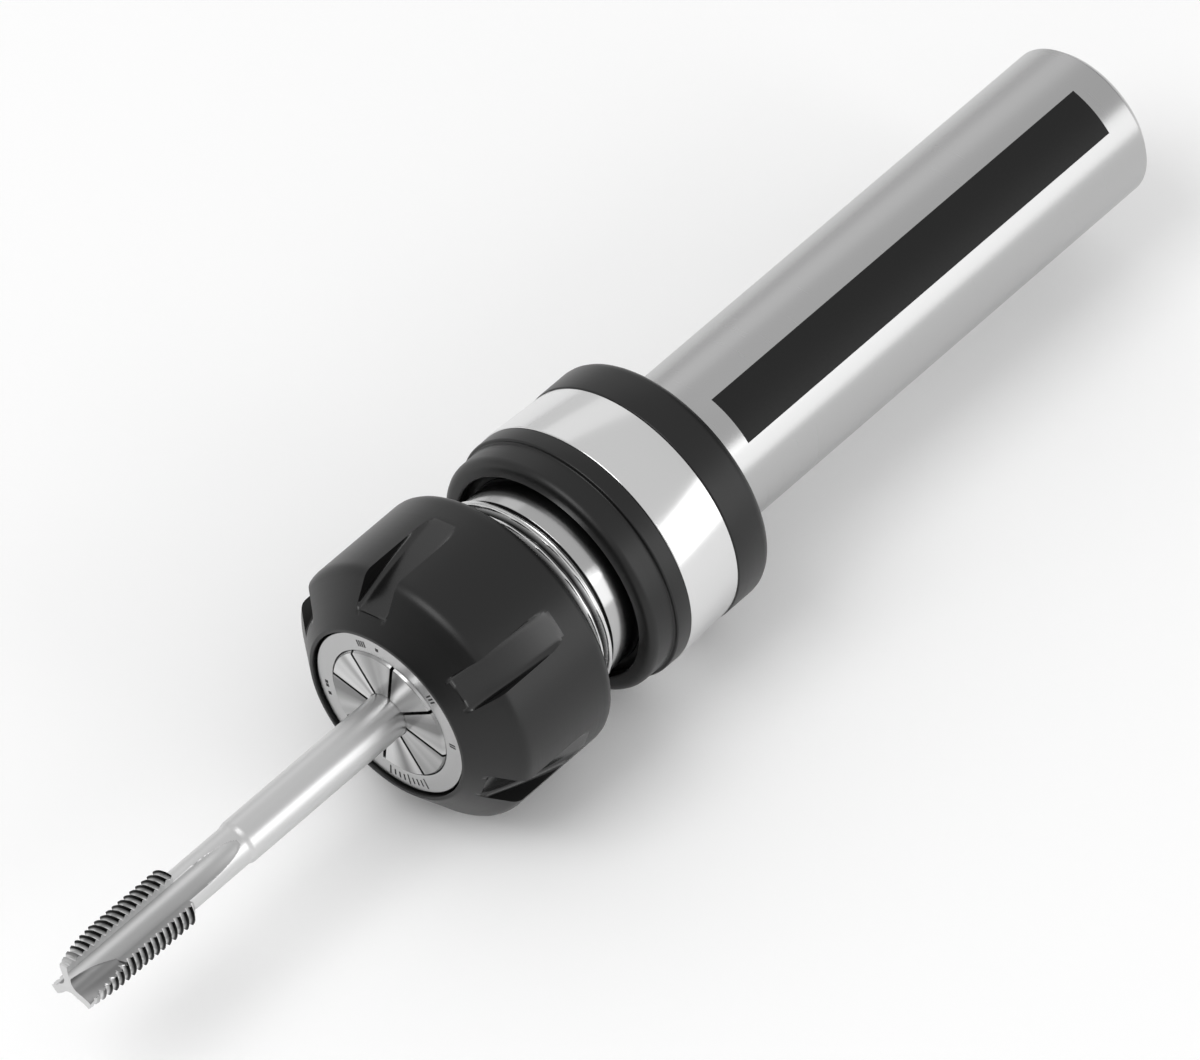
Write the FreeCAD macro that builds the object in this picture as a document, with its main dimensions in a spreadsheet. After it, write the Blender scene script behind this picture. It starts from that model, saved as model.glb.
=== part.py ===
import FreeCAD, Part
import math
import os
import re
import Sketcher

# Tapping chuck with a plain shank, a spring collet and a length-compensating quill.
# The axis is X: +X runs from the tap to the shank's free end, Z is up. The origin is
# on the axis in the gauge plane, where the shank meets the collar. All in millimetres.

os.makedirs("parts", exist_ok=True)
doc = FreeCAD.newDocument("TappingChuck")
sheet = doc.addObject("Spreadsheet::Sheet", "sizes")
size_names = []
places = {}
nodes = []


def write_sizes(group):
    """Writes driving sizes in the sheet, each beside its name, and gives its cell that alias."""
    for name, number in group.items():
        size_names.append(name)
        row = len(size_names)
        sheet.set(f"A{row}", name)
        sheet.set(f"B{row}", str(number))
        sheet.setAlias(f"B{row}", name)
    sheet.recompute()


def place(name, text):
    """Names a place or size that is worked out from the driving sizes."""
    places[name] = text


def formula(text):
    """Turns size and place names into an expression on the sheet's cells."""
    def swap(match):
        word = match.group(0)
        if word in places:
            return "(" + formula(places[word]) + ")"
        return "sizes." + word if word in size_names else word
    return re.sub(r"[a-z_]+", swap, text)


def value(text):
    return float(sheet.evalExpression(formula(text)))


def bind(thing, setting, text):
    thing.setExpression(setting, formula(text))


def origin_part(body, role):
    return next(f for f in body.Origin.OriginFeatures if f.Role == role)


def new_body(name):
    return doc.addObject("PartDesign::Body", name)


def new_sketch(body, name, plane, along_normal=None):
    """A sketch on one of the body's own planes, moved along its normal by a formula."""
    sketch = body.newObject("Sketcher::SketchObject", name)
    sketch.AttachmentSupport = [(origin_part(body, plane), "")]
    sketch.MapMode = "FlatFace"
    if along_normal:
        bind(sketch, "AttachmentOffset.Base.z", along_normal)
    return sketch


def pin_point(sketch, line, end, across, up):
    """Holds one end of a line at a place given by two formulas."""
    for kind, text in (("DistanceX", across), ("DistanceY", up)):
        at = sketch.addConstraint(Sketcher.Constraint(kind, -1, 1, line, end, value(text)))
        sketch.setExpression(f"Constraints[{at}]", formula(text))


def outline(sketch, points):
    """Closes straight lines through the points and holds each point by its formulas."""
    spots = [FreeCAD.Vector(value(across), value(up), 0) for across, up in points]
    count = len(spots)
    for i in range(count):
        sketch.addGeometry(Part.LineSegment(spots[i], spots[(i + 1) % count]))
    for i in range(count):
        sketch.addConstraint(Sketcher.Constraint("Coincident", i, 2, (i + 1) % count, 1))
    for i, (across, up) in enumerate(points):
        pin_point(sketch, i, 1, across, up)


def turned(body, name, points):
    """Turns a half section, given as (x, radius) formulas, about the X axis."""
    sketch = new_sketch(body, name + "_section", "XY_Plane")
    outline(sketch, points)
    turn = body.newObject("PartDesign::Revolution", name + "_turn")
    turn.Profile = sketch
    turn.ReferenceAxis = (sketch, ["H_Axis"])
    turn.Angle = 360
    return turn


def around_axis(body, name, feature, count):
    """Repeats a feature evenly about the X axis."""
    pattern = body.newObject("PartDesign::PolarPattern", name)
    pattern.Originals = [feature]
    pattern.Axis = (origin_part(body, "X_Axis"), [""])
    pattern.Angle = 360
    bind(pattern, "Occurrences", count)
    body.Tip = pattern
    return pattern


def cut_along_x(body, name, start, length, points, turn=None):
    """Cuts an outline, given as (y, z) formulas, from x = start towards +X."""
    sketch = new_sketch(body, name + "_outline", "YZ_Plane", start)
    if turn:
        bind(sketch, "AttachmentOffset.Rotation.Angle", turn)
    outline(sketch, points)
    pocket = body.newObject("PartDesign::Pocket", name)
    pocket.Profile = sketch
    pocket.Reversed = True
    bind(pocket, "Length", length)
    return pocket


def square_points(half):
    return [(f"-{half}", f"-{half}"), (half, f"-{half}"), (half, half), (f"-{half}", half)]


def slot_points(half_width, inside, outside):
    return [(inside, f"-({half_width})"), (outside, f"-({half_width})"),
            (outside, half_width), (inside, half_width)]


def hexagon_points(across_flats):
    corner = f"{across_flats} / sqrt(3)"
    return [(f"{corner} * cos({60 * i})", f"{corner} * sin({60 * i})") for i in range(6)]


def turned_about_axis(thing, angle):
    """Turns a finished piece about the chuck's axis."""
    thing.Placement = FreeCAD.Placement(
        FreeCAD.Vector(), FreeCAD.Rotation(FreeCAD.Vector(1, 0, 0), value(angle)))
    bind(thing, "Placement.Rotation.Angle", angle)


def keep(thing, node):
    """Gives a finished piece its label, which names its file."""
    thing.Label = node
    nodes.append(thing)


# Fits between pieces
fits = {
    "running_clearance": 0.03,
    "stem_clearance": 0.05,
    "thread_clearance": 0.05,
    "seat_clearance": 0.02,
    "key_clearance": 0.05,
    "grip_clearance": 0.02,
}
write_sizes(fits)

# Compensation travel of the quill: in when pushed, out when pulled
travel = {
    "push_travel": 5,
    "pull_travel": 7,
    "end_gap": 0.5,
}
write_sizes(travel)

# Spring collet, with an 8 degree main cone. Its diameter sets the quill's socket, and the
# quill's nose in turn sets the nut, the neck and the collar.
collet_sizes = {
    "collet_diameter": 26,
    "collet_length": 34,
    "collet_recess": 0.2,
    "collet_face_drop": 2.8,
    "collet_land_width": 0.45,
    "front_cone_angle": 30,
    "groove_depth": 1.4,
    "groove_width": 2,
    "main_cone_step": 0.25,
    "main_cone_angle": 8,
    "front_slot_width": 0.9,
    "rear_slot_width": 0.7,
    "slot_web": 5,
    "slot_count": 8,
    "slot_angle": 4.7,
    "square_play": 0.1,
}
write_sizes(collet_sizes)
place("collet_land_radius", "collet_diameter / 2")
place("collet_face_radius", "collet_land_radius - collet_face_drop")
place("groove_radius", "collet_land_radius - groove_depth")
place("main_cone_radius", "collet_land_radius - main_cone_step")

# Collar and shank along the axis
housing_sizes = {
    "shank_diameter": 25,
    "shank_length": 91,
    "shank_chamfer": 1,
    "grinding_relief": 0.5,
    "rear_wall": 1.5,
    "flange_wall": 1.8,
    "flange_length": 19,
    "bore_floor": 2.5,
    "bore_relief": 0.2,
    "bush_wall": 1.17,
    "bush_length": 10.5,
    "cap_ring_depth": 1.1,
    "cap_ring_width": 1.2,
    "cap_ring_inset": 1.8,
}
write_sizes(housing_sizes)
place("flange_rear", "-rear_wall")
place("flange_front", "flange_rear - flange_length")
place("bore_bottom", "flange_rear - bore_floor")
place("bush_rear", "flange_front + bush_length")

# Quill: threaded nose with the taper socket, undercut, neck and stem
quill_sizes = {
    "nose_wall": 3.25,
    "nose_chamfer": 0.8,
    "thread_length": 17.5,
    "undercut_depth": 1.4,
    "undercut_width": 1,
    "neck_step": 0.6,
    "neck_length": 18.5,
    "stem_diameter": 16,
    "stem_length": 33.5,
    "socket_run_out": 1.2,
    "tail_space_step": 1,
    "tail_space_length": 4,
    "stem_ring_depth": 1.1,
    "stem_ring_width": 1.2,
    "stem_ring_inset": 3.5,
}
write_sizes(quill_sizes)
place("thread_radius", "main_cone_radius + nose_wall")
place("neck_radius", "thread_radius - neck_step")
place("stem_radius", "stem_diameter / 2")
place("neck_rear", "bore_bottom - end_gap - push_travel")
place("neck_front", "neck_rear - neck_length")
place("thread_rear", "neck_front - undercut_width")
place("nose", "thread_rear - thread_length")
place("stem_rear", "neck_rear + stem_length")

# Radii of the collar, outwards from the neck that slides in it
place("bush_inside", "neck_radius + running_clearance")
place("bush_outside", "bush_inside + bush_wall")
place("flange_radius", "bush_outside + flange_wall")
place("sleeve_bore", "flange_radius + seat_clearance")
place("cap_ring_groove_radius", "flange_radius - cap_ring_depth")
place("cap_ring_groove_front", "flange_front + cap_ring_inset")
place("cap_ring_groove_rear", "cap_ring_groove_front + cap_ring_width")

# Drive keys, held in the shank and running in the stem's slots
key_sizes = {
    "key_width": 4,
    "key_length": 8,
    "key_depth": 4,
    "key_bite": 1.8,
    "key_seat_depth": 2.2,
    "key_count": 3,
}
write_sizes(key_sizes)
place("key_inside", "stem_radius - key_bite")
place("key_outside", "stem_radius + key_seat_depth")

# Plug that closes the shank
plug_sizes = {
    "plug_length": 7,
    "plug_recess": 1,
    "plug_socket_flats": 6,
    "plug_socket_depth": 4,
    "plug_chamfer": 0.6,
}
write_sizes(plug_sizes)
place("plug_rear", "shank_length - plug_recess")
place("plug_front", "plug_rear - plug_length")
place("plug_radius", "stem_radius - seat_clearance")

# Draw bolt and the two compensation springs on it. The rear spring fills what the
# shank's length leaves it.
spring_sizes = {
    "bolt_diameter": 8,
    "bolt_grip": 10,
    "bolt_head_diameter": 13,
    "bolt_head_length": 7,
    "bolt_hole_clearance": 0.2,
    "bolt_end_gap": 8.5,
    "bolt_socket_flats": 6,
    "bolt_socket_depth": 4,
    "washer_thickness": 1.5,
    "shoulder_length": 4,
    "push_spring_length": 15,
    "spring_wire": 1.8,
    "spring_side_gap": 0.6,
    "spring_pitch": 3.35,
    "spring_steps": 12,
}
write_sizes(spring_sizes)
place("bolt_radius", "bolt_diameter / 2")
place("bolt_hole", "bolt_radius + bolt_hole_clearance")
place("stem_bore", "stem_radius + stem_clearance")
place("washer_outside", "stem_radius - stem_clearance")
place("push_spring_front", "stem_rear + washer_thickness")
place("push_spring_rear", "push_spring_front + push_spring_length")
place("shoulder_front", "push_spring_rear + washer_thickness")
place("shoulder_rear", "shoulder_front + shoulder_length")
place("pull_spring_front", "shoulder_rear + washer_thickness")
place("bolt_head_rear", "plug_front - bolt_end_gap")
place("bolt_head_front", "bolt_head_rear - bolt_head_length")
place("pull_spring_rear", "bolt_head_front - washer_thickness")
place("spring_mean_radius", "stem_radius - spring_side_gap - spring_wire / 2")

# Bearing ring that presses on the collet's front cone, and the thrust washer and split
# ring that hold it in the nut
ring_sizes = {
    "ring_recess": 0.5,
    "ring_wall": 0.5,
    "ring_wall_gap": 0.1,
    "ring_face_drop": 0.2,
    "ring_step": 1,
    "ring_flange_width": 1.5,
    "ring_flange_length": 3.3,
    "lip_gap": 0.5,
    "lip_width": 1.1,
    "lip_clearance": 0.3,
    "thrust_washer_thickness": 1.3,
    "thrust_washer_play": 0.1,
    "thrust_clearance": 0.03,
    "snap_ring_thickness": 0.9,
    "snap_ring_reach": 0.8,
    "snap_ring_split": 3,
    "snap_ring_gap": 0.2,
    "snap_ring_nose_gap": 1.12,
}
write_sizes(ring_sizes)
place("ring_bore", "collet_land_radius + ring_wall_gap")
place("ring_body_radius", "ring_bore + ring_wall")
place("ring_face_radius", "ring_body_radius - ring_face_drop")
place("ring_flange_radius", "ring_body_radius + ring_flange_width")

# Nut: barrel, front cone and sloping spanner notches. Its front lies ahead of the
# quill's nose by the pieces stacked between them.
nut_sizes = {
    "nut_wall": 5,
    "nut_overlap": 12.5,
    "nut_front_wall": 4.05,
    "nut_opening_play": 0.15,
    "nut_rim": 0.55,
    "nut_cone_length": 5.4,
    "nut_cone_knee": 0.9,
    "nut_rear_chamfer": 1.1,
    "thread_mouth_chamfer": 0.6,
    "thread_run_out": 0.5,
    "chamber_play": 0.1,
    "snap_groove_depth": 0.8,
    "notch_width": 5.8,
    "notch_start": 5.5,
    "notch_slope": 15.8,
    "notch_count": 6,
    "notch_angle": 14.7,
}
write_sizes(nut_sizes)
place("nut_rear", "nose + nut_overlap")
place("snap_ring_rear", "nose - snap_ring_nose_gap")
place("snap_ring_front", "snap_ring_rear - snap_ring_thickness")
place("ring_flange_rear", "snap_ring_front - snap_ring_gap")
place("ring_flange_front", "ring_flange_rear - ring_flange_length")
place("thrust_washer_rear", "ring_flange_front - thrust_clearance")
place("chamber_front", "thrust_washer_rear - thrust_washer_thickness")
place("nut_front", "chamber_front - nut_front_wall")
place("nut_radius", "thread_radius + nut_wall")
place("nut_thread_bore", "thread_radius + thread_clearance")
place("nut_thread_front", "nose - thread_run_out")
place("nut_opening_radius", "ring_body_radius + nut_opening_play")
place("nut_face_radius", "nut_opening_radius + nut_rim")
place("chamber_radius", "ring_flange_radius + chamber_play")
place("snap_groove_radius", "chamber_radius + snap_groove_depth")
place("cone_rear", "nut_front + nut_cone_length")
place("notch_rear", "nut_rear - notch_start")
place("notch_front", "nut_front - notch_width")

# Collet along the axis, from the nut's front
place("collet_front", "nut_front + collet_recess")
place("collet_rear", "collet_front + collet_length")
place("land_front", "collet_front + collet_face_drop / tan(front_cone_angle)")
place("groove_front", "land_front + collet_land_width")
place("groove_rear", "groove_front + groove_width")
place("collet_rear_radius",
      "main_cone_radius - (collet_rear - groove_rear) * tan(main_cone_angle)")

# Bearing ring along the axis, from the collet's cone and groove
place("ring_front", "nut_front + ring_recess")
place("ring_mouth_radius",
      "collet_face_radius + (ring_front - collet_front) * tan(front_cone_angle)"
      " + seat_clearance")
place("ring_cone_rear", "ring_front + (ring_bore - ring_mouth_radius) / tan(front_cone_angle)")
place("lip_front", "groove_front + lip_gap")
place("lip_rear", "lip_front + lip_width")
place("lip_inside", "groove_radius + lip_clearance")

# Bores of the quill, behind the collet
place("socket_rear", "collet_rear + socket_run_out")
place("socket_mouth_radius",
      "main_cone_radius - (nose - groove_rear) * tan(main_cone_angle) + seat_clearance")
place("socket_end_radius", "socket_mouth_radius - (socket_rear - nose) * tan(main_cone_angle)")
place("tail_space_rear", "socket_rear + tail_space_length")
place("tail_space_radius", "bolt_radius + tail_space_step")
place("stem_ring_groove_front", "stem_rear - stem_ring_inset")
place("stem_ring_groove_rear", "stem_ring_groove_front + stem_ring_width")
place("stem_ring_groove_radius", "stem_radius - stem_ring_depth")

# Tap, from its tail by the depth stop: square, round shank, neck, thread and flutes
tap_sizes = {
    "tap_length": 100,
    "tap_stop_gap": 2.5,
    "tap_shank_diameter": 6.8,
    "tap_tail_chamfer": 0.4,
    "tap_square": 5.5,
    "tap_square_length": 8,
    "tap_square_sides": 4,
    "tap_neck_step": 0.25,
    "tap_neck_length": 12.3,
    "tap_neck_taper": 0.8,
    "tap_thread_diameter": 9,
    "tap_thread_length": 21,
    "tap_lead_drop": 1.3,
    "tap_lead_length": 6,
    "web_radius": 1.8,
    "flute_radius": 2.1,
    "flute_past_thread": 2.5,
    "flute_run_out": 25,
    "flute_count": 3,
    "flute_angle": 119.7,
    "gash_angle": 11,
    "gash_length": 7,
    "gash_offset": 1.3,
}
write_sizes(tap_sizes)
place("bore_radius", "tap_shank_diameter / 2 + grip_clearance")
place("tap_tail", "tail_space_rear - tap_stop_gap")
place("tap_tip", "tap_tail - tap_length")
place("tap_square_front", "tap_tail - tap_square_length")
place("tap_thread_radius", "tap_thread_diameter / 2")
place("tap_thread_rear", "tap_tip + tap_thread_length")
place("tap_neck_rear", "tap_thread_rear + tap_neck_length")
place("tap_neck_radius", "tap_shank_diameter / 2 - tap_neck_step")
place("flute_circle", "web_radius + flute_radius")
place("flute_straight", "tap_thread_length + flute_past_thread")

# Rings round the collar: black ring at the rear, bright band, black cap with its seal
ring_and_cap_sizes = {
    "rear_ring_length": 7,
    "rear_ring_wall": 1.48,
    "rear_ring_round": 1.7,
    "rear_ring_edge": 0.6,
    "band_front_wall": 1.83,
    "band_rear_wall": 1.33,
    "band_chamfer": 0.25,
    "cap_grip": 3.3,
    "cap_length": 7.3,
    "cap_step_length": 2.8,
    "cap_large_wall": 1.68,
    "cap_small_wall": 1.08,
    "cap_opening_gap": 1.4,
    "cap_front_round": 1.3,
    "cap_front_edge": 0.45,
    "cap_edge_chamfer": 0.3,
    "wiper_length": 2.1,
    "wiper_grip": 0.8,
    "wiper_lip_rise": 0.5,
}
write_sizes(ring_and_cap_sizes)
place("band_rear", "-rear_ring_length")
place("rear_ring_radius", "sleeve_bore + rear_ring_wall")
place("band_front_radius", "sleeve_bore + band_front_wall")
place("band_rear_radius", "sleeve_bore + band_rear_wall")
place("cap_rear", "flange_front + cap_grip")
place("cap_front", "cap_rear - cap_length")
place("cap_step", "cap_rear - cap_step_length")
place("cap_large_radius", "sleeve_bore + cap_large_wall")
place("cap_small_radius", "sleeve_bore + cap_small_wall")
place("cap_opening_radius", "neck_radius + cap_opening_gap")
place("wiper_front", "flange_front - wiper_length")
place("wiper_inside", "neck_radius + stem_clearance")
place("wiper_radius", "cap_opening_radius + wiper_grip")

# Depth stop behind the tap
stop_sizes = {
    "stop_screw_length": 10,
    "stop_socket_flats": 4,
    "stop_socket_depth": 3,
}
write_sizes(stop_sizes)


def make_shank_housing():
    """The plain shank, bored for the springs, with the flange that the collar sits on."""
    body = new_body("shank_housing")
    turned(body, "housing", [
        ("flange_front", "bush_outside"),
        ("flange_front", "flange_radius"),
        ("cap_ring_groove_front", "flange_radius"),
        ("cap_ring_groove_front", "cap_ring_groove_radius"),
        ("cap_ring_groove_rear", "cap_ring_groove_radius"),
        ("cap_ring_groove_rear", "flange_radius"),
        ("flange_rear", "flange_radius"),
        ("flange_rear", "shank_diameter / 2 - grinding_relief"),
        ("0", "shank_diameter / 2 - grinding_relief"),
        ("0", "shank_diameter / 2"),
        ("shank_length - shank_chamfer", "shank_diameter / 2"),
        ("shank_length", "shank_diameter / 2 - shank_chamfer"),
        ("shank_length", "stem_radius"),
        ("shoulder_rear", "stem_radius"),
        ("shoulder_rear", "bolt_hole"),
        ("shoulder_front", "bolt_hole"),
        ("shoulder_front", "stem_bore"),
        ("bore_bottom", "stem_bore"),
        ("bore_bottom", "neck_radius + bore_relief"),
        ("bush_rear", "neck_radius + bore_relief"),
        ("bush_rear", "bush_outside"),
    ])
    seat = cut_along_x(body, "key_seat", "key_depth", "key_length",
                       slot_points("key_width / 2", "0", "key_outside"))
    around_axis(body, "key_seats", seat, "key_count")
    keep(body, "shank_housing")


def make_rear_ring():
    """Black cover ring on the back of the collar, closed down onto the shank."""
    body = new_body("rear_ring")
    turned(body, "rear_ring", [
        ("band_rear", "sleeve_bore"),
        ("band_rear", "rear_ring_radius"),
        ("-rear_ring_round", "rear_ring_radius"),
        ("-rear_ring_edge", "rear_ring_radius - rear_ring_edge"),
        ("0", "rear_ring_radius - rear_ring_round"),
        ("0", "shank_diameter / 2 + seat_clearance"),
        ("flange_rear", "shank_diameter / 2 + seat_clearance"),
        ("flange_rear", "sleeve_bore"),
    ])
    keep(body, "rear_ring")


def make_silver_band():
    """Bright band round the flange, a little larger at its front edge."""
    body = new_body("silver_band")
    turned(body, "band", [
        ("cap_rear", "sleeve_bore"),
        ("cap_rear", "band_front_radius - band_chamfer"),
        ("cap_rear + band_chamfer", "band_front_radius"),
        ("band_rear", "band_rear_radius"),
        ("band_rear", "sleeve_bore"),
    ])
    keep(body, "silver_band")


def make_front_cap():
    """Black screwed cap on the front of the flange, which holds the wiper seal."""
    body = new_body("front_cap")
    turned(body, "cap", [
        ("cap_front", "cap_opening_radius"),
        ("cap_front", "cap_small_radius - cap_front_round"),
        ("cap_front + cap_front_edge", "cap_small_radius - cap_front_edge"),
        ("cap_front + cap_front_round", "cap_small_radius"),
        ("cap_step", "cap_small_radius"),
        ("cap_step", "cap_large_radius - cap_edge_chamfer"),
        ("cap_step + cap_edge_chamfer", "cap_large_radius"),
        ("cap_rear", "cap_large_radius"),
        ("cap_rear", "sleeve_bore"),
        ("flange_front", "sleeve_bore"),
        ("flange_front", "wiper_radius"),
        ("wiper_front", "wiper_radius"),
        ("wiper_front", "cap_opening_radius"),
    ])
    keep(body, "front_cap")


def make_wiper_seal():
    """Seal held between the cap and the flange, with its lip turned out on the neck."""
    body = new_body("wiper_seal")
    turned(body, "wiper", [
        ("wiper_front", "wiper_inside"),
        ("wiper_front", "wiper_inside + wiper_lip_rise"),
        ("wiper_front + wiper_lip_rise", "wiper_radius"),
        ("flange_front", "wiper_radius"),
        ("flange_front", "wiper_inside"),
    ])
    keep(body, "wiper_seal")


def make_guide_bush():
    """Plain bush that the quill's neck slides in."""
    body = new_body("guide_bush")
    turned(body, "bush", [
        ("flange_front", "bush_inside"),
        ("flange_front", "bush_outside"),
        ("bush_rear", "bush_outside"),
        ("bush_rear", "bush_inside"),
    ])
    keep(body, "guide_bush")


def make_seal_ring(node, front, rear, inside, outside):
    """A square-section seal ring in its groove."""
    body = new_body(node)
    turned(body, node, [(front, inside), (front, outside), (rear, outside), (rear, inside)])
    keep(body, node)


def make_cap_seal_ring():
    """Ring in the flange's groove, sealing the cap."""
    make_seal_ring("cap_seal_ring", "cap_ring_groove_front", "cap_ring_groove_rear",
                   "cap_ring_groove_radius", "flange_radius")


def make_drive_keys():
    """Keys that stop the quill turning in the shank but let it slide."""
    keys = []
    full_circle = 360
    for i in range(round(value("key_count"))):
        turn = f"({i} * 360 / key_count)"
        key = doc.addObject("Part::Box", f"drive_key_{i + 1}")
        key.Placement = FreeCAD.Placement(
            FreeCAD.Vector(),
            FreeCAD.Rotation(FreeCAD.Vector(1, 0, 0), value(turn) or full_circle))
        bind(key, "Length", "key_length")
        bind(key, "Width", "key_outside - key_inside")
        bind(key, "Height", "key_width")
        bind(key, "Placement.Base.x", "key_depth")
        bind(key, "Placement.Base.y",
             f"key_inside * cos({turn}) + key_width / 2 * sin({turn})")
        bind(key, "Placement.Base.z",
             f"key_inside * sin({turn}) - key_width / 2 * cos({turn})")
        keys.append(key)
    group = doc.addObject("Part::Compound", "drive_keys")
    group.Links = keys
    keep(group, "drive_keys")


def make_washer(node, front, inside):
    """A flat washer for one end of a spring."""
    body = new_body(node)
    turned(body, node, [
        (front, inside),
        (front, "washer_outside"),
        (f"{front} + washer_thickness", "washer_outside"),
        (f"{front} + washer_thickness", inside),
    ])
    keep(body, node)


def make_spring(node, front, rear):
    """A compression spring about the axis, between two washer faces, of six-sided wire
    with straight steps along its helix."""
    mean, wire = value("spring_mean_radius"), value("spring_wire") / 2
    start, end = value(front) + wire, value(rear) - wire
    turns = (value(rear) - value(front)) / value("spring_pitch")
    steps = round(turns * value("spring_steps"))
    sections = []
    for k in range(steps + 1):
        turn = 2 * math.pi * turns * k / steps
        corners = []
        for side in range(7):
            lean = math.pi / 3 * side
            radius = mean + wire * math.sin(lean)
            corners.append(FreeCAD.Vector(
                start + (end - start) * k / steps + wire * math.cos(lean),
                radius * math.cos(turn), radius * math.sin(turn)))
        sections.append(Part.makePolygon(corners))
    spring = doc.addObject("Part::Feature", node)
    spring.Shape = Part.makeLoft(sections, True, True)
    keep(spring, node)


def make_end_plug():
    """Screw plug that closes the shank behind the springs, with a hexagon socket."""
    body = new_body("end_plug")
    turned(body, "plug", [
        ("plug_front", "0"),
        ("plug_front", "plug_radius"),
        ("plug_rear - plug_chamfer", "plug_radius"),
        ("plug_rear", "plug_radius - plug_chamfer"),
        ("plug_rear", "0"),
    ])
    cut_along_x(body, "plug_socket", "plug_rear - plug_socket_depth", "plug_socket_depth",
                hexagon_points("plug_socket_flats"))
    keep(body, "end_plug")


def make_quill():
    """Sliding quill: threaded nose with the taper socket, neck, and grooved stem."""
    body = new_body("quill")
    turned(body, "quill", [
        ("nose", "socket_mouth_radius"),
        ("nose", "thread_radius - nose_chamfer"),
        ("nose + nose_chamfer", "thread_radius"),
        ("thread_rear", "thread_radius"),
        ("thread_rear", "thread_radius - undercut_depth"),
        ("neck_front", "thread_radius - undercut_depth"),
        ("neck_front", "neck_radius"),
        ("neck_rear", "neck_radius"),
        ("neck_rear", "stem_radius"),
        ("stem_ring_groove_front", "stem_radius"),
        ("stem_ring_groove_front", "stem_ring_groove_radius"),
        ("stem_ring_groove_rear", "stem_ring_groove_radius"),
        ("stem_ring_groove_rear", "stem_radius"),
        ("stem_rear", "stem_radius"),
        ("stem_rear", "bolt_radius"),
        ("tail_space_rear", "bolt_radius"),
        ("tail_space_rear", "tail_space_radius"),
        ("socket_rear", "tail_space_radius"),
        ("socket_rear", "socket_end_radius"),
    ])
    slot = cut_along_x(body, "key_slot", "key_depth - push_travel - end_gap",
                       "key_length + push_travel + pull_travel + 2 * end_gap",
                       slot_points("(key_width / 2 + key_clearance)",
                                   "(key_inside - key_clearance)", "stem_diameter"))
    around_axis(body, "key_slots", slot, "key_count")
    keep(body, "quill")


def make_stop_screw():
    """Depth stop behind the tap, turned with a key through the collet."""
    body = new_body("stop_screw")
    turned(body, "stop_screw", [
        ("tail_space_rear", "0"),
        ("tail_space_rear", "bolt_radius"),
        ("tail_space_rear + stop_screw_length", "bolt_radius"),
        ("tail_space_rear + stop_screw_length", "0"),
    ])
    cut_along_x(body, "stop_socket", "tail_space_rear", "stop_socket_depth",
                hexagon_points("stop_socket_flats"))
    keep(body, "stop_screw")


def make_draw_bolt():
    """Socket-head bolt that ties the quill to the rear spring."""
    body = new_body("draw_bolt")
    turned(body, "bolt", [
        ("stem_rear - bolt_grip", "0"),
        ("stem_rear - bolt_grip", "bolt_radius"),
        ("bolt_head_front", "bolt_radius"),
        ("bolt_head_front", "bolt_head_diameter / 2"),
        ("bolt_head_rear", "bolt_head_diameter / 2"),
        ("bolt_head_rear", "0"),
    ])
    cut_along_x(body, "bolt_socket", "bolt_head_rear - bolt_socket_depth",
                "bolt_socket_depth", hexagon_points("bolt_socket_flats"))
    keep(body, "draw_bolt")


def make_stem_seal_ring():
    """Damping ring in the stem's groove."""
    make_seal_ring("stem_seal_ring", "stem_ring_groove_front", "stem_ring_groove_rear",
                   "stem_ring_groove_radius", "stem_radius")


def make_nut_shell():
    """Clamping nut: barrel, front cone and six sloping spanner notches."""
    body = new_body("nut_shell")
    turned(body, "nut", [
        ("nut_front", "nut_opening_radius"),
        ("nut_front", "nut_face_radius"),
        ("cone_rear - nut_cone_knee", "nut_radius - nut_cone_knee"),
        ("cone_rear + nut_cone_knee", "nut_radius"),
        ("nut_rear - nut_rear_chamfer", "nut_radius"),
        ("nut_rear", "nut_radius - nut_rear_chamfer"),
        ("nut_rear", "nut_thread_bore + thread_mouth_chamfer"),
        ("nut_rear - thread_mouth_chamfer", "nut_thread_bore"),
        ("nut_thread_front", "nut_thread_bore"),
        ("nut_thread_front", "chamber_radius"),
        ("snap_ring_rear", "chamber_radius"),
        ("snap_ring_rear", "snap_groove_radius"),
        ("snap_ring_front", "snap_groove_radius"),
        ("snap_ring_front", "chamber_radius"),
        ("chamber_front", "chamber_radius"),
        ("chamber_front", "nut_opening_radius"),
    ])
    sketch = new_sketch(body, "notch_side", "XY_Plane")
    outline(sketch, [
        ("notch_rear", "nut_radius"),
        ("notch_front", "nut_radius - (notch_rear - notch_front) * tan(notch_slope)"),
        ("notch_front", "nut_radius + notch_width"),
        ("notch_rear", "nut_radius + notch_width"),
    ])
    notch = body.newObject("PartDesign::Pocket", "notch")
    notch.Profile = sketch
    notch.SideType = "Symmetric"
    bind(notch, "Length", "notch_width")
    around_axis(body, "notches", notch, "notch_count")
    turned_about_axis(body, "notch_angle")
    keep(body, "nut_shell")


def make_bearing_ring():
    """Ring that presses on the collet's front cone while the nut turns round it."""
    body = new_body("bearing_ring")
    turned(body, "ring", [
        ("ring_front", "ring_mouth_radius"),
        ("ring_front", "ring_face_radius"),
        ("ring_front + ring_step", "ring_body_radius"),
        ("ring_flange_front", "ring_body_radius"),
        ("ring_flange_front", "ring_flange_radius"),
        ("ring_flange_rear", "ring_flange_radius"),
        ("ring_flange_rear", "ring_bore"),
        ("lip_rear", "ring_bore"),
        ("lip_rear", "lip_inside"),
        ("lip_front", "lip_inside"),
        ("lip_front", "ring_bore"),
        ("ring_cone_rear", "ring_bore"),
    ])
    keep(body, "bearing_ring")


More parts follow.
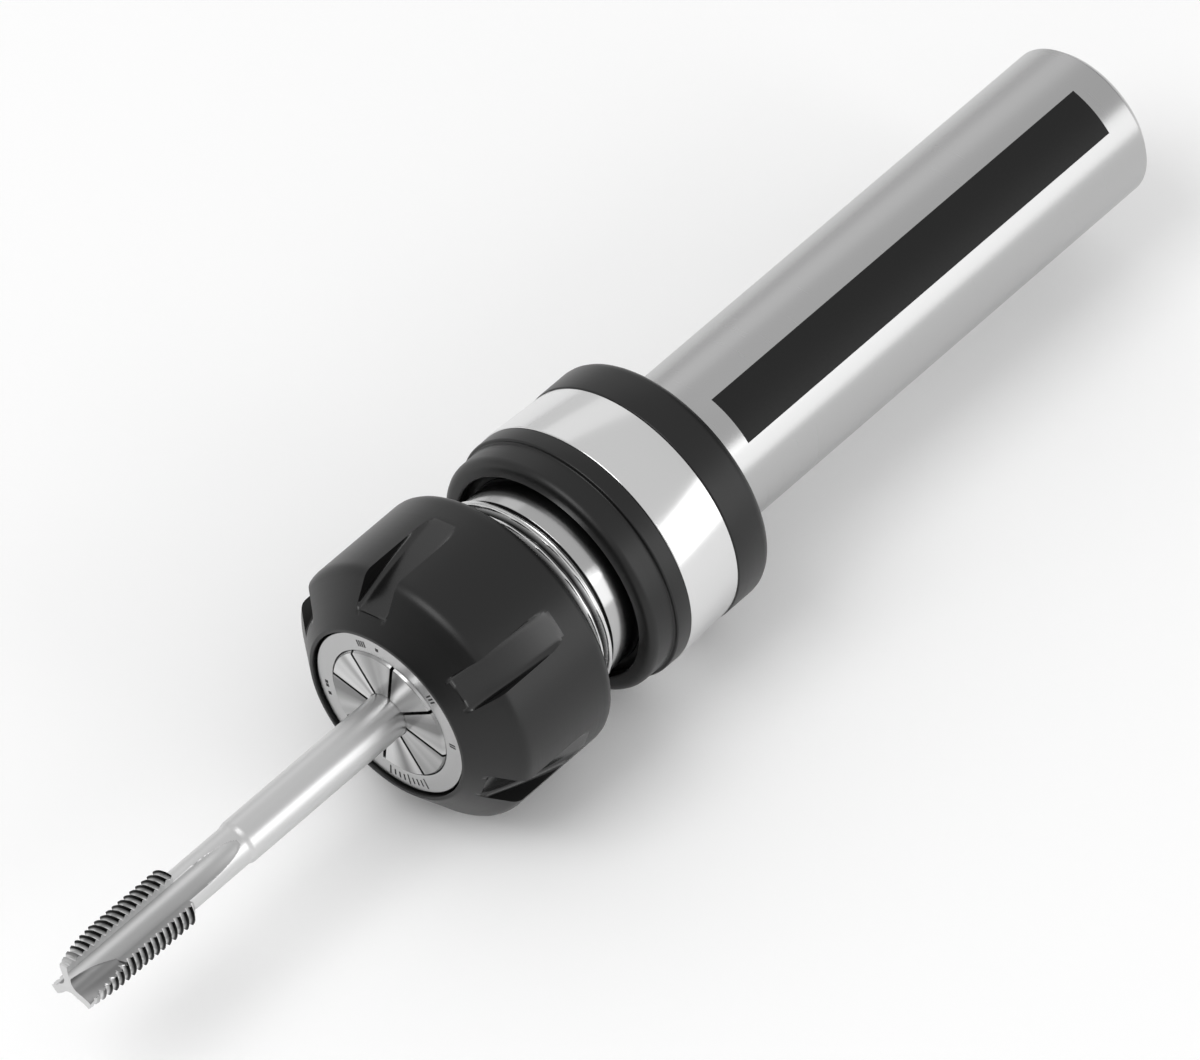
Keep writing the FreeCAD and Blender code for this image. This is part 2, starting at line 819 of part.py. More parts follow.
def make_thrust_washer():
    """Bronze washer that the nut turns on, between its front wall and the bearing ring."""
    body = new_body("thrust_washer")
    turned(body, "thrust_washer", [
        ("chamber_front", "ring_body_radius + thrust_washer_play"),
        ("chamber_front", "chamber_radius - thrust_washer_play"),
        ("thrust_washer_rear", "chamber_radius - thrust_washer_play"),
        ("thrust_washer_rear", "ring_body_radius + thrust_washer_play"),
    ])
    keep(body, "thrust_washer")


def make_nut_snap_ring():
    """Split ring that keeps the bearing ring in the nut."""
    body = new_body("nut_snap_ring")
    turned(body, "snap_ring", [
        ("snap_ring_front", "chamber_radius - snap_ring_reach"),
        ("snap_ring_front", "snap_groove_radius"),
        ("snap_ring_rear", "snap_groove_radius"),
        ("snap_ring_rear", "chamber_radius - snap_ring_reach"),
    ])
    cut_along_x(body, "snap_ring_gap_cut", "snap_ring_front", "snap_ring_thickness", [
        ("-snap_ring_split / 2", "0"),
        ("snap_ring_split / 2", "0"),
        ("snap_ring_split / 2", "snap_groove_radius + snap_ring_split"),
        ("-snap_ring_split / 2", "snap_groove_radius + snap_ring_split"),
    ])
    keep(body, "nut_snap_ring")


def make_collet():
    """Spring collet, slotted from both ends, with a square seat for the tap's tail."""
    body = new_body("collet")
    turned(body, "collet", [
        ("collet_front", "bore_radius"),
        ("collet_front", "collet_face_radius"),
        ("land_front", "collet_land_radius"),
        ("groove_front", "collet_land_radius"),
        ("groove_front", "groove_radius"),
        ("groove_rear", "groove_radius"),
        ("groove_rear", "main_cone_radius"),
        ("collet_rear", "collet_rear_radius"),
        ("collet_rear", "tap_square / 2 - square_play"),
        ("tap_square_front", "tap_square / 2 - square_play"),
        ("tap_square_front", "bore_radius"),
    ])
    cut_along_x(body, "square_seat", "tap_square_front", "collet_rear - tap_square_front",
                square_points("(tap_square / 2 + grip_clearance)"))
    slot = cut_along_x(body, "front_slot", "collet_front", "collet_length - slot_web", [
        ("0", "-front_slot_width / 2"),
        ("collet_land_radius + slot_web", "-front_slot_width / 2"),
        ("collet_land_radius + slot_web", "front_slot_width / 2"),
        ("0", "front_slot_width / 2"),
    ])
    around_axis(body, "front_slots", slot, "slot_count")
    half_step = "(180 / slot_count)"
    reach = "(collet_land_radius + slot_web)"
    half = "(rear_slot_width / 2)"
    slot = cut_along_x(body, "rear_slot", "collet_front + slot_web",
                       "collet_length - slot_web", [
        (f"{half} * sin({half_step})", f"-{half} * cos({half_step})"),
        (f"{reach} * cos({half_step}) + {half} * sin({half_step})",
         f"{reach} * sin({half_step}) - {half} * cos({half_step})"),
        (f"{reach} * cos({half_step}) - {half} * sin({half_step})",
         f"{reach} * sin({half_step}) + {half} * cos({half_step})"),
        (f"-{half} * sin({half_step})", f"{half} * cos({half_step})"),
    ])
    around_axis(body, "rear_slots", slot, "slot_count")
    turned_about_axis(body, "slot_angle")
    keep(body, "collet")


def make_tap():
    """Three-flute spiral-point tap with a reduced neck and a square tail."""
    body = new_body("tap")
    turned(body, "tap", [
        ("tap_tip", "0"),
        ("tap_tip", "tap_thread_radius - tap_lead_drop"),
        ("tap_tip + tap_lead_length", "tap_thread_radius"),
        ("tap_thread_rear - tap_neck_taper", "tap_thread_radius"),
        ("tap_thread_rear", "tap_neck_radius"),
        ("tap_neck_rear - tap_neck_taper", "tap_neck_radius"),
        ("tap_neck_rear", "tap_shank_diameter / 2"),
        ("tap_tail - tap_tail_chamfer", "tap_shank_diameter / 2"),
        ("tap_tail", "tap_shank_diameter / 2 - tap_tail_chamfer"),
        ("tap_tail", "0"),
    ])
    across = "(tap_square / 2)"
    outside = "tap_shank_diameter"
    flats = cut_along_x(body, "square_flat", "tap_square_front", "tap_square_length", [
        (across, f"-{outside}"),
        (outside, f"-{outside}"),
        (outside, outside),
        (across, outside),
    ], "slot_angle - flute_angle")
    around_axis(body, "square_flats", flats, "tap_square_sides")
    flute = body.newObject("PartDesign::SubtractiveCylinder", "flute")
    flute.Placement = FreeCAD.Placement(
        FreeCAD.Vector(), FreeCAD.Rotation(FreeCAD.Vector(0, 1, 0), 90))
    bind(flute, "Radius", "flute_radius")
    bind(flute, "Height", "flute_straight + flute_radius")
    bind(flute, "Placement.Base.x", "tap_tip - flute_radius")
    bind(flute, "Placement.Base.y", "flute_circle")
    around_axis(body, "flutes", flute, "flute_count")
    run_out = body.newObject("PartDesign::SubtractiveTorus", "flute_run_out")
    bind(run_out, "Radius1", "flute_run_out")
    bind(run_out, "Radius2", "flute_radius")
    bind(run_out, "Placement.Base.x", "tap_tip + flute_straight")
    bind(run_out, "Placement.Base.y", "flute_circle + flute_run_out")
    around_axis(body, "flute_run_outs", run_out, "flute_count")
    gash = body.newObject("PartDesign::SubtractiveCylinder", "spiral_point")
    lean = math.radians(value("gash_angle"))
    gash.Placement = FreeCAD.Placement(FreeCAD.Vector(), FreeCAD.Rotation(
        FreeCAD.Vector(0, 0, 1), FreeCAD.Vector(math.cos(lean), math.sin(lean), 0)))
    bind(gash, "Radius", "flute_radius")
    bind(gash, "Height", "(gash_length + flute_radius) / cos(gash_angle)")
    bind(gash, "Placement.Base.x", "tap_tip - flute_radius")
    bind(gash, "Placement.Base.y",
         "flute_circle - (gash_length + flute_radius) * tan(gash_angle)")
    bind(gash, "Placement.Base.z", "gash_offset")
    around_axis(body, "spiral_points", gash, "flute_count")
    turned_about_axis(body, "flute_angle")
    keep(body, "tap")


def make_all():
    make_shank_housing()
    make_rear_ring()
    make_silver_band()
    make_front_cap()
    make_wiper_seal()
    make_guide_bush()
    make_cap_seal_ring()
    make_drive_keys()
    make_washer("spring_thrust_washer", "stem_rear", "bolt_hole")
    make_spring("push_spring", "push_spring_front", "push_spring_rear")
    make_washer("push_seat_washer", "push_spring_rear", "bolt_hole")
    make_washer("pull_seat_washer", "shoulder_rear", "bolt_hole")
    make_spring("pull_spring", "pull_spring_front", "pull_spring_rear")
    make_washer("bolt_washer", "pull_spring_rear", "bolt_hole")
    make_end_plug()
    make_quill()
    make_stop_screw()
    make_draw_bolt()
    make_stem_seal_ring()
    make_nut_shell()
    make_bearing_ring()
    make_thrust_washer()
    make_nut_snap_ring()
    make_collet()
    make_tap()


def check_all():
    """Stops if any object failed, or a finished piece has no valid shape."""
    for thing in doc.Objects:
        if "Invalid" in thing.State or "Error" in thing.State:
            raise RuntimeError(f"{thing.Name} failed: {thing.State}")
    for thing in nodes:
        if thing.Shape.isNull() or not thing.Shape.isValid() or not thing.Shape.Solids:
            raise RuntimeError(f"{thing.Label} has no valid solid")


make_all()
doc.recompute()
check_all()
for thing in nodes:
    thing.Shape.exportStep(f"parts/{thing.Label}.step")
    box = thing.Shape.BoundBox
    print(f"{thing.Label}: x {box.XMin:.2f} to {box.XMax:.2f},"
          f" radius {box.YMax:.2f}, {thing.Shape.Volume:.1f} mm3")
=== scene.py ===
import math
import bmesh
import bpy
import numpy as np
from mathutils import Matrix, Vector


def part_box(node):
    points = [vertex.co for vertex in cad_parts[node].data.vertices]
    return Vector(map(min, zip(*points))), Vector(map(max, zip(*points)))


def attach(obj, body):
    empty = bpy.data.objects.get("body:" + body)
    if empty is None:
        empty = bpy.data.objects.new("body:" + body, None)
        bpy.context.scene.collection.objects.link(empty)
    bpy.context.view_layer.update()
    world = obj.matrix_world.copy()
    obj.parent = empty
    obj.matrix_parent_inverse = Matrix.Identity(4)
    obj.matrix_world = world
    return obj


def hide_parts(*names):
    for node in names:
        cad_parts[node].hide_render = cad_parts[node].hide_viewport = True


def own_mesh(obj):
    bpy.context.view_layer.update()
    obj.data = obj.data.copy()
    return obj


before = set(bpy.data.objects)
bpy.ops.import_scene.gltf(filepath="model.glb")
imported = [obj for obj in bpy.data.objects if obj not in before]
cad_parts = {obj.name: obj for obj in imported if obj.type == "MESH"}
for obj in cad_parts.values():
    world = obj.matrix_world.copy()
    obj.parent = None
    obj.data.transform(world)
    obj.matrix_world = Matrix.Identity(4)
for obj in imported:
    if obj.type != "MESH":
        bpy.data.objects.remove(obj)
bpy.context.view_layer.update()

# Camera
# A long lens looks down at the chuck from the tap's side. The picture's middle is on the
# chuck's axis, a little in front of the collar. The picture keeps its plain contrast, and
# all sizes in this file are millimetres.
MM = 0.001
camera_turn = math.radians(-48.43)
camera_rise = math.radians(49.43)
camera_distance = 1500
look_at = np.array([-13.48, 0.01, 0.52])
lens_length = 324.9

toward_camera = np.array([math.sin(camera_turn) * math.cos(camera_rise),
                          -math.cos(camera_turn) * math.cos(camera_rise),
                          math.sin(camera_rise)])
camera_data = bpy.data.cameras.new("photo_camera")
camera_data.lens = lens_length
camera_data.clip_end = 20
camera = bpy.data.objects.new("photo_camera", camera_data)
camera.location = (look_at + toward_camera * camera_distance) * MM
camera.rotation_euler = Vector(toward_camera).to_track_quat("Z", "Y").to_euler()
bpy.context.scene.collection.objects.link(camera)
bpy.context.scene.camera = camera
bpy.context.scene.view_settings.view_transform = "Standard"


# Floor
# A plain pale sheet of studio paper, just under the nut, which is the widest part.
def linear(hex_colour):
    """Turns an sRGB hex value to linear light: v/12.92 below 0.04045, else
    ((v + 0.055) / 1.055) to the power 2.4."""
    parts = [int(hex_colour[i:i + 2], 16) / 255 for i in (1, 3, 5)]
    return [v / 12.92 if v <= 0.04045 else ((v + 0.055) / 1.055) ** 2.4 for v in parts] + [1]


def add(material, kind, links=(), **settings):
    """Adds a node with its settings. A link is (input name, another node's output)."""
    node = material.node_tree.nodes.new(kind)
    sockets = {socket.name.lower().replace(" ", "_"): socket
               for socket in reversed(node.inputs)}
    for key, wanted in settings.items():
        if key in sockets:
            sockets[key].default_value = wanted
        else:
            setattr(node, key, wanted)
    for name, output in links:
        material.node_tree.links.new(output, node.inputs[name])
    return node


def new_material(name):
    """A material with an empty tree and its output node."""
    material = bpy.data.materials.new(name)
    material.use_nodes = True
    material.node_tree.nodes.clear()
    return material


def finish_material(material, shader):
    """Joins the shader to the material's output node."""
    output = add(material, "ShaderNodeOutputMaterial")
    material.node_tree.links.new(shader.outputs[0], output.inputs["Surface"])


floor_gap = 0.15
floor_half = 3000
floor_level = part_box("nut_shell")[0][2] / MM - floor_gap

studio_paper = new_material("studio_paper")
finish_material(studio_paper, add(
    studio_paper, "ShaderNodeBsdfPrincipled", base_color=linear("#FFFFFF"), roughness=0.9))
floor_mesh = bpy.data.meshes.new("floor")
floor_mesh.from_pydata(
    [(x * floor_half * MM, y * floor_half * MM, floor_level * MM)
     for x, y in ((-1, -1), (1, -1), (1, 1), (-1, 1))], [], [(0, 1, 2, 3)])
floor_mesh.materials.append(studio_paper)
floor = bpy.data.objects.new("floor", floor_mesh)
bpy.context.scene.collection.objects.link(floor)


# Light
# Soft studio light in a pale room: a broad box overhead, a long one in front that draws
# the bright stripe along the steel, a weak one behind and a small one for the notches.
# The two end walls are dark, so that threads and steps that face along the chuck show.
room_brightness = 0.75
end_wall_brightness = 0.04
end_wall_from, end_wall_to = 0.72, 0.95
world = bpy.data.worlds.new("studio")
bpy.context.scene.world = world
world.use_nodes = True
world.node_tree.nodes.clear()
room_place = add(world, "ShaderNodeTexCoord").outputs["Generated"]
room_axes = add(world, "ShaderNodeSeparateXYZ", [("Vector", room_place)])
toward_end = add(world, "ShaderNodeMath", [("Value", room_axes.outputs["X"])],
                 operation="ABSOLUTE")
room_walls = add(world, "ShaderNodeMapRange", [("Value", toward_end.outputs[0])],
                 interpolation_type="SMOOTHSTEP", from_min=end_wall_from,
                 from_max=end_wall_to, to_min=room_brightness, to_max=end_wall_brightness)
room = add(world, "ShaderNodeBackground", [("Strength", room_walls.outputs[0])],
           color=linear("#FFFFFF"))
add(world, "ShaderNodeOutputWorld", [("Surface", room.outputs[0])])


def soft_box(name, place, size, brightness):
    """A rectangular area light at place, in millimetres, facing the chuck. A box of
    brightness b and area A sends out b * pi * A watts."""
    data = bpy.data.lights.new(name, "AREA")
    data.shape = "RECTANGLE"
    data.size, data.size_y = size[0] * MM, size[1] * MM
    data.energy = brightness * math.pi * data.size * data.size_y
    light = bpy.data.objects.new(name, data)
    light.location = Vector(place) * MM
    light.rotation_euler = Vector(place).to_track_quat("Z", "Y").to_euler()
    bpy.context.scene.collection.objects.link(light)


soft_box("overhead_box", (-600, 150, 900), (600, 600), 3.2)
soft_box("front_box", (730, -1290, 234), (1600, 1150), 1.2)
soft_box("back_box", (730, 1090, 730), (1600, 640), 0.22)
soft_box("notch_box", (280, -1160, 730), (400, 300), 2.2)


# Shank
# A plain steel shank, hardened and cylindrically ground, one piece with the flange
# inside the collar. The wheel leaves fine rings round it.
ROUND_STEPS = 144
CORNER_STEPS = 5


def profile(corners, closed=True):
    """Rounds the corners of an outline given as (x, radius, corner rounding).

    Where two sides meet at twice an angle h, the arc touches them at rounding / tan(h)
    from the corner, and its centre is rounding / sin(h) away on the line between them."""
    points = np.array([c[:2] for c in corners], float)
    out = []
    count = len(points)
    for i, corner in enumerate(corners):
        here = points[i]
        end = not closed and i in (0, count - 1)
        if end or len(corner) < 3 or corner[2] == 0:
            out.append(here[None])
            continue
        before = points[i - 1] - here
        after = points[(i + 1) % count] - here
        before /= np.linalg.norm(before)
        after /= np.linalg.norm(after)
        half = math.acos(np.clip(before @ after, -1, 1)) / 2
        reach = corner[2] / math.tan(half)
        middle = (before + after) / np.linalg.norm(before + after) * corner[2] / math.sin(half)
        first = before * reach - middle
        last = after * reach - middle
        turn = math.acos(np.clip(first @ last / corner[2] ** 2, -1, 1))
        share = np.linspace(0, 1, CORNER_STEPS + 1)[:, None]
        arc = (np.sin((1 - share) * turn) * first + np.sin(share * turn) * last) / math.sin(turn)
        out.append(here + middle + arc)
    return np.concatenate(out)


def new_piece(name, points, faces, material, sharp=32):
    """A mesh object in metres from points in millimetres. Its doubles are merged, its
    faces point outwards, and edges that turn by more than sharp degrees stay sharp."""
    mesh = bpy.data.meshes.new(name)
    mesh.from_pydata((np.asarray(points).reshape(-1, 3) * MM).tolist(), [], faces)
    cleaned = bmesh.new()
    cleaned.from_mesh(mesh)
    bmesh.ops.remove_doubles(cleaned, verts=cleaned.verts, dist=1e-7)
    bmesh.ops.recalc_face_normals(cleaned, faces=cleaned.faces)
    cleaned.to_mesh(mesh)
    cleaned.free()
    mesh.shade_smooth()
    mesh.set_sharp_from_angle(angle=math.radians(sharp))
    mesh.materials.append(material)
    piece = bpy.data.objects.new(name, mesh)
    bpy.context.scene.collection.objects.link(piece)
    return piece


def grid_faces(rows, columns, wrap_rows, wrap_columns, start=0):
    """Quads between neighbouring grid points, as index arrays."""
    r = np.arange(rows if wrap_rows else rows - 1)[:, None]
    c = np.arange(columns if wrap_columns else columns - 1)[None, :]
    below, beside = (r + 1) % rows, (c + 1) % columns
    quads = np.stack([r * columns + c + 0 * below, r * columns + beside,
                      below * columns + beside, below * columns + c], -1)
    return (quads.reshape(-1, 4) + start).tolist()


def on_circles(x, radius, angle):
    """Points at distance x along the axis, radius from it and angle from +Y to +Z:
    (x, radius * cos(angle), radius * sin(angle))."""
    x, radius, angle = np.broadcast_arrays(x, radius, angle)
    return np.stack([x, radius * np.cos(angle), radius * np.sin(angle)], -1)


def turned(name, corners, material, closed=True, steps=ROUND_STEPS, sharp=32):
    """A lathe shape: each outline point (x, r) is carried round the axis."""
    line = profile(corners, closed)
    angle = np.linspace(0, 2 * math.pi, steps, endpoint=False)[None, :]
    points = on_circles(line[:, :1], line[:, 1:], angle)
    faces = grid_faces(len(line), steps, closed, True)
    return new_piece(name, points, faces, material, sharp)


def axis_bump(material, coordinates, ring_spacing, depth, along=1.0, around=0.02):
    """Fine rings round the axis: noise squeezed along X, as a bump in millimetres."""
    mapping = add(material, "ShaderNodeMapping", [("Vector", coordinates)],
                  scale=(along / (ring_spacing * MM), around / (ring_spacing * MM),
                         around / (ring_spacing * MM)))
    noise = add(material, "ShaderNodeTexNoise", [("Vector", mapping.outputs[0])],
                scale=1.0, detail=3.0, roughness=0.6)
    return add(material, "ShaderNodeBump", [("Height", noise.outputs["Fac"])],
               strength=1.0, distance=depth * MM), noise


def steel(name, colour, roughness, ring_spacing, ring_depth, spread=0.08, anisotropic=0.0,
          tone=None):
    """Bare machined steel: metallic, default IOR, with the tool's rings as bump and as a
    slight change of roughness. The rings smear a reflection across themselves, so the
    smear is turned a quarter from their direction. A tone is a function that gives the
    colour where it isn't the same all over."""
    material = new_material(name)
    place = add(material, "ShaderNodeTexCoord").outputs["Object"]
    bump, noise = axis_bump(material, place, ring_spacing, ring_depth)
    gloss = add(material, "ShaderNodeMapRange", [("Value", noise.outputs["Fac"])],
                to_min=roughness - spread / 2, to_max=roughness + spread / 2)
    links = [("Roughness", gloss.outputs[0]), ("Normal", bump.outputs[0])]
    if anisotropic:
        tangent = add(material, "ShaderNodeTangent", direction_type="RADIAL", axis="X")
        links.append(("Tangent", tangent.outputs[0]))
    if tone:
        links.append(("Base Color", tone(material, place)))
    finish_material(material, add(
        material, "ShaderNodeBsdfPrincipled", links, base_color=linear(colour),
        metallic=1.0, anisotropic=anisotropic, anisotropic_rotation=0.25))
    return material


shank_radius = 12.5
shank_length = 91
shank_chamfer = 1
grinding_relief = 0.5
flange_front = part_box("shank_housing")[0][0] / MM
flange_radius = 18.4
flange_rear = -1.5
bush_seat_radius = 16.6
bush_seat_rear = -10
quill_bore_radius = 15.6
quill_bore_rear = -4
stem_bore_radius = 8.05
bolt_hole_radius = 4.2
bolt_wall = (42, 46)
spring_bore_radius = 8
edge_break = 0.15
rear_break = 0.3

# Ground steel has no grain that shows, only a soft sheen with faint rings.
ground_steel = steel("ground_steel", "#B6B6B6", 0.27, 0.35, 0.00012, 0.02, 0.6)

shank = turned("shank", [
    (flange_front, bush_seat_radius), (flange_front, flange_radius, edge_break),
    (flange_rear, flange_radius), (flange_rear, shank_radius - grinding_relief),
    (0, shank_radius - grinding_relief), (0, shank_radius, edge_break),
    (shank_length - shank_chamfer, shank_radius, rear_break),
    (shank_length, shank_radius - shank_chamfer, rear_break),
    (shank_length, spring_bore_radius, rear_break), (bolt_wall[1], spring_bore_radius),
    (bolt_wall[1], bolt_hole_radius), (bolt_wall[0], bolt_hole_radius),
    (bolt_wall[0], stem_bore_radius), (quill_bore_rear, stem_bore_radius),
    (quill_bore_rear, quill_bore_radius), (bush_seat_rear, quill_bore_radius),
    (bush_seat_rear, bush_seat_radius)], ground_steel)
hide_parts("shank_housing")
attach(shank, "holder")


# Marking field
# A blank black field on the side of the shank that faces the user. It is etched and
# blackened steel, a hair above the ground surface, with square corners.
field_front = 7
field_rear = 85
field_middle = math.radians(119.7)
field_half = math.radians(18.4)
field_height = 0.03
field_depth = 0.02

etched_black = new_material("etched_black")
grain_place = add(etched_black, "ShaderNodeTexCoord").outputs["Object"]
grain = add(etched_black, "ShaderNodeTexNoise", [("Vector", grain_place)],
            scale=1 / (0.4 * MM), detail=4.0)
grain_gloss = add(etched_black, "ShaderNodeMapRange", [("Value", grain.outputs["Fac"])],
                  to_min=0.5, to_max=0.62)
grain_bump = add(etched_black, "ShaderNodeBump", [("Height", grain.outputs["Fac"])],
                 strength=0.4, distance=0.002 * MM)
finish_material(etched_black, add(
    etched_black, "ShaderNodeBsdfPrincipled",
    [("Roughness", grain_gloss.outputs[0]), ("Normal", grain_bump.outputs[0])],
    base_color=linear("#0E0E0E"), specular_ior_level=0.32))


def curved_plate(name, front, rear, inner, outer, middle, half, material):
    """A plate wrapped on a cylinder: x runs from front to rear and the angle from
    middle - half to middle + half, once at each radius, closed round its edge."""
    rows, columns = 2, 33
    x = np.linspace(front, rear, rows)[:, None]
    angle = np.linspace(middle - half, middle + half, columns)[None, :]
    ring = np.concatenate([on_circles(x, outer, angle), on_circles(x, inner, angle)[::-1]])
    faces = grid_faces(2 * rows, columns, True, False)
    side = [[r * columns for r in range(2 * rows)],
            [r * columns + columns - 1 for r in reversed(range(2 * rows))]]
    return new_piece(name, ring, faces + side, material)


marking_field = curved_plate(
    "marking_field", field_front, field_rear, shank_radius - field_depth,
    shank_radius + field_height, field_middle, field_half, etched_black)
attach(marking_field, "holder")


# Black collar pieces
# The ring at the shank's root and the stepped cap in front are turned steel, blackened
# in a hot salt bath, which leaves a dark satin skin over fine turning rings.
def blackened(name, colour, roughness, ring_spacing, ring_depth, gleam=0.4):
    """Blackened steel: a dark oxide skin, seen as a dielectric, over turning rings. The
    gleam is its specular level, 0.5 for a plain glossy skin."""
    material = new_material(name)
    place = add(material, "ShaderNodeTexCoord").outputs["Object"]
    bump, noise = axis_bump(material, place, ring_spacing, ring_depth)
    gloss = add(material, "ShaderNodeMapRange", [("Value", noise.outputs["Fac"])],
                to_min=roughness - 0.04, to_max=roughness + 0.04)
    finish_material(material, add(
        material, "ShaderNodeBsdfPrincipled",
        [("Roughness", gloss.outputs[0]), ("Normal", bump.outputs[0])],
        base_color=linear(colour), specular_ior_level=gleam))
    return material


black_oxide = blackened("black_oxide", "#101010", 0.38, 0.3, 0.0008)

collar_bore = flange_radius + 0.02
rear_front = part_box("rear_ring")[0][0] / MM
rear_radius = 19.9
rear_bore = shank_radius + 0.02
rear_ring = turned("root_ring", [
    (rear_front, collar_bore), (rear_front, rear_radius, 0.25), (0, rear_radius, 1.7),
    (0, rear_bore, 0.2), (flange_rear, rear_bore), (flange_rear, collar_bore)], black_oxide)
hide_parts("rear_ring")
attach(rear_ring, "holder")

cap_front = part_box("front_cap")[0][0] / MM
cap_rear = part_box("front_cap")[1][0] / MM
cap_step = cap_rear - 2.8
cap_radius = 19.5
cap_step_radius = 20.1
cap_mouth = 16.8
seal_front = -22.6
seal_rear = -20.5
seal_room = 17.6
front_cap = turned("cap", [
    (cap_front, cap_mouth, 0.3), (cap_front, cap_radius, 1.3), (cap_step, cap_radius, 0.28),
    (cap_step, cap_step_radius, 0.3), (cap_rear, cap_step_radius, edge_break),
    (cap_rear, collar_bore), (seal_rear, collar_bore), (seal_rear, seal_room),
    (seal_front, seal_room), (seal_front, cap_mouth)], black_oxide)
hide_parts("front_cap")
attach(front_cap, "holder")


# Bright band
# A turned steel sleeve round the flange, polished and bright-plated, so that it mirrors
# the light boxes.
bright_plate = steel("bright_plate", "#DEDEDE", 0.17, 0.8, 0.0003, 0.04, 0.6)
band_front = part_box("silver_band")[0][0] / MM
band_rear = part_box("silver_band")[1][0] / MM
band_front_radius = 20.25
band_rear_radius = 19.75
band = turned("bright_band", [
    (band_front, collar_bore), (band_front, band_front_radius, 0.2),
    (band_rear, band_rear_radius, 0.1), (band_rear, collar_bore)], bright_plate)
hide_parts("silver_band")
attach(band, "holder")


# Quill
# Case-hardened steel, ground and polished on the neck. The nose has a rolled M32 x 1.5
# thread for the nut, with a narrow undercut behind it where the rolling stops. The thread's
# roots and the undercut are painted darker than its crests, as painted shade.
polished_steel = steel("polished_steel", "#B8B8B8", 0.16, 0.25, 0.0004, 0.05, 0.4)

quill_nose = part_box("quill")[0][0] / MM
thread_radius = 16
thread_pitch = 1.5
thread_depth = 0.92
thread_end = quill_nose + 17.5
thread_rows = 190
nose_edge = 0.8
undercut_end = thread_end + 1
undercut_radius = 14.6
neck_radius = 15.4
neck_end = undercut_end + 18.5
stem_radius = 8
stem_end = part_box("quill")[1][0] / MM
socket_mouth = 12.29
socket_end = 8.86
socket_rear = -22
bolt_bore = 4
quill_steps = 216


def thread_wave(x, angle, pitch, crest=0.16, root=0.2):
    """Height from 0 at the root to 1 at the crest of a thread that climbs one pitch a
    turn: a triangle wave of x / pitch - angle / 2 pi with a flat crest and root."""
    turn = (x / pitch - angle / (2 * math.pi)) % 1.0
    slope = np.abs(2 * turn - 1)
    return np.clip((slope - root) / (1 - root - crest), 0, 1)


def threaded_skin(x, radius, angle, pitch, depth, start, end, fade):
    """Radius less the thread's depth, with the thread fading out at both ends."""
    inside = np.clip((x - start) / fade, 0, 1) * np.clip((end - x) / fade, 0, 1)
    return radius - depth * inside * (1 - thread_wave(x, angle, pitch))


thread_x = np.linspace(quill_nose + nose_edge, thread_end, thread_rows)
quill_line = np.concatenate([
    profile([(socket_rear, bolt_bore), (socket_rear, socket_end),
             (quill_nose, socket_mouth, 0.2), (quill_nose, thread_radius - nose_edge, 0.2)],
            False),
    np.stack([thread_x, np.full(thread_rows, thread_radius)], -1),
    profile([(thread_end, thread_radius), (thread_end + 0.05, undercut_radius, 0.05),
             (undercut_end, undercut_radius, 0.05), (undercut_end, neck_radius, edge_break),
             (neck_end, neck_radius, 0.2), (neck_end, stem_radius), (stem_end, stem_radius),
             (stem_end, bolt_bore)], False)])
quill_angle = np.linspace(0, 2 * math.pi, quill_steps, endpoint=False)[None, :]
quill_x = quill_line[:, :1]
quill_radius = quill_line[:, 1:]
quill_skin = threaded_skin(quill_x, quill_radius, quill_angle, thread_pitch, thread_depth,
                           quill_nose + nose_edge - 0.01, thread_end + 0.01, 0.7)
quill_skin = np.where(quill_radius > thread_radius - 0.1, quill_skin, quill_radius)


def tone_by_radius(inner, outer, inner_tone, outer_tone):
    """A tone that goes from one hex value at the inner radius to another at the outer
    radius, where the radius is the length of (0, y, z)."""
    def tone(material, place):
        across = add(material, "ShaderNodeVectorMath", [(0, place)], operation="MULTIPLY")
        across.inputs[1].default_value = (0, 1, 1)
        radius = add(material, "ShaderNodeVectorMath", [(0, across.outputs[0])],
                     operation="LENGTH")
        return add(material, "ShaderNodeMapRange", [("Value", radius.outputs["Value"])],
                   from_min=inner * MM, from_max=outer * MM, to_min=linear(inner_tone)[0],
                   to_max=linear(outer_tone)[0]).outputs[0]
    return tone


def paint_faces(piece, material, chosen):
    """Gives one more material to the faces that chosen picks by their middles' x, radius
    and angle."""
    piece.data.materials.append(material)
    count = len(piece.data.polygons)
    middles = np.empty(count * 3, np.float32)
    piece.data.polygons.foreach_get("center", middles)
    x, y, z = middles.reshape(-1, 3).T / MM
    index = np.empty(count, np.int32)
    piece.data.polygons.foreach_get("material_index", index)
    index[chosen(x, np.hypot(y, z), np.arctan2(z, y))] = len(piece.data.materials) - 1
    piece.data.polygons.foreach_set("material_index", index)


# Painted shade: the thread's colour runs from dark in the roots and the undercut to light on the
# crests.
painted_root_shade_steel = steel("oiled_thread_steel", "#C4C4C4", 0.2, 0.25, 0.0004,
                     tone=tone_by_radius(thread_radius - 0.85, thread_radius - 0.05,
                                         "#4A4A4A", "#D8D8D8"))
quill = new_piece("quill_skin", on_circles(quill_x, quill_skin, quill_angle),
                  grid_faces(len(quill_line), quill_steps, True, True), polished_steel)
paint_faces(quill, painted_root_shade_steel,
            lambda x, radius, angle: (x < undercut_end - 0.05) & (radius > socket_mouth + 1))
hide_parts("quill")
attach(quill, "quill")


